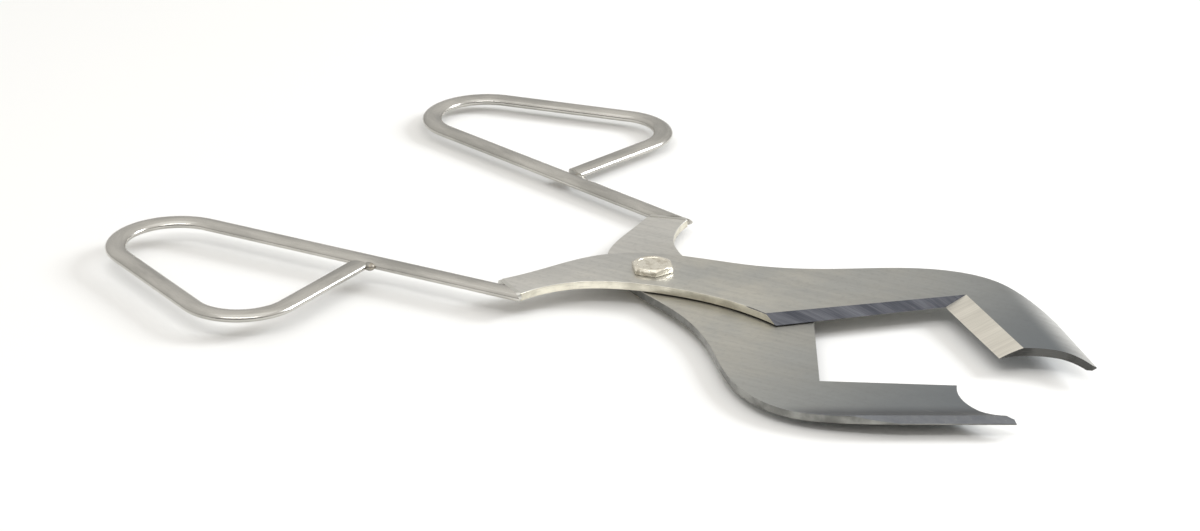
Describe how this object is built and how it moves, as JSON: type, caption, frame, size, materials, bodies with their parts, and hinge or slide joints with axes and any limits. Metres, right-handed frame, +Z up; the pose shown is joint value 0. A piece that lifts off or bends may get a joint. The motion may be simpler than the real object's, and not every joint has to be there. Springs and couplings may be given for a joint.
{
  "type": "crucible tongs",
  "caption": "Scissor-type laboratory tongs: flat jaw plates with bevelled angular notches on oval rod handles with finger loops, crossed on a hexagon bolt.",
  "frame": {"origin": "centre of the pivot bolt's lower end face, on the pivot axis", "axes": "+X along the centreline to the jaw tips, +Y to the side of the upper half's jaw, +Z up along the pivot bolt"},
  "size_m": [0.403, 0.3044, 0.014],
  "materials": {
    "plate_steel": "satin rolled sheet, edges ground",
    "rod_steel": "satin polished bar",
    "weld_steel": "weld ground nearly flush",
    "bolt_steel": "bright zinc-nickel hexagon hardware",
    "washer_steel": "thin flat washer"
  },
  "bodies": {
    "lower_half": {"lower_jaw_plate": "plate_steel", "lower_handle_rod": "rod_steel", "lower_handle_weld": "weld_steel", "lower_loop_tack": "weld_steel", "pivot_bolt": "bolt_steel", "pivot_nut": "bolt_steel", "shim_washer": "washer_steel"},
    "upper_half": {"upper_jaw_plate": "plate_steel", "upper_handle_rod": "rod_steel", "upper_handle_weld": "weld_steel", "upper_loop_tack": "weld_steel"}
  },
  "joints": [
    {"name": "pivot", "type": "hinge", "parent": "lower_half", "child": "upper_half", "pos_m": [0, 0, 0.00935], "axis": [0, 0, 1], "range_deg": [-10, 30]}
  ]
}
